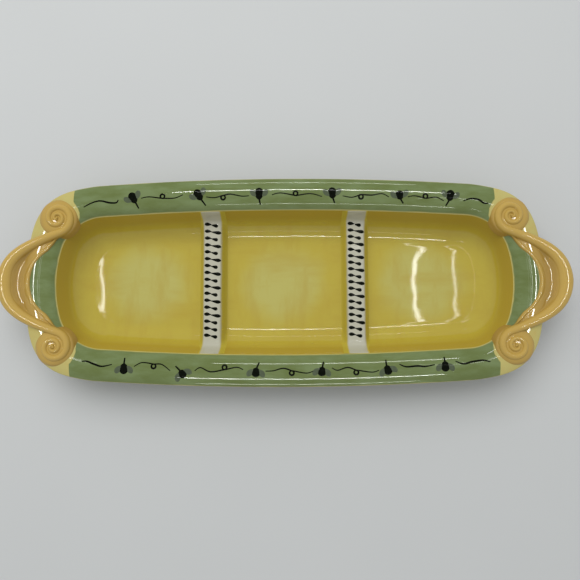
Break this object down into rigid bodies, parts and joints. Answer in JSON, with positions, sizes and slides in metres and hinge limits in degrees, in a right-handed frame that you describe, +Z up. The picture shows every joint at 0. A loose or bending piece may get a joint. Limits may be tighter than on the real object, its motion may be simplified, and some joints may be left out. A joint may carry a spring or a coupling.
{
  "type": "divided condiment dish",
  "caption": "Long glazed earthenware dish split into wells by low ridges, with a broad painted lip and a scrolled coil handle at each end, for serving condiments.",
  "frame": {"origin": "on the table, under the middle of the foot ring", "axes": "+X along the dish to the right handle, +Y to the back rim, +Z up"},
  "size_m": [0.465, 0.1674, 0.0445],
  "materials": {
    "yellow_glaze": "clear gloss glaze over brushed mustard yellow",
    "green_glaze": "clear gloss glaze over sage green with painted sprigs",
    "peach_glaze": "clear gloss glaze over peach",
    "cream_glaze": "clear gloss glaze over cream",
    "white_glaze": "clear gloss glaze over off-white with painted black strokes",
    "bisque": "unglazed fired clay"
  },
  "bodies": {
    "root": {"trough": "yellow_glaze", "foot_ring": "bisque", "rim_back": "green_glaze", "rim_front": "green_glaze", "divider_left": "white_glaze", "crescent_left": "green_glaze", "grip_left": "peach_glaze", "scroll_left": "peach_glaze", "corner_left_back": "cream_glaze", "corner_left_front": "cream_glaze", "divider_right": "white_glaze", "crescent_right": "green_glaze", "grip_right": "peach_glaze", "scroll_right": "peach_glaze", "corner_right_back": "cream_glaze", "corner_right_front": "cream_glaze"}
  },
  "joints": []
}
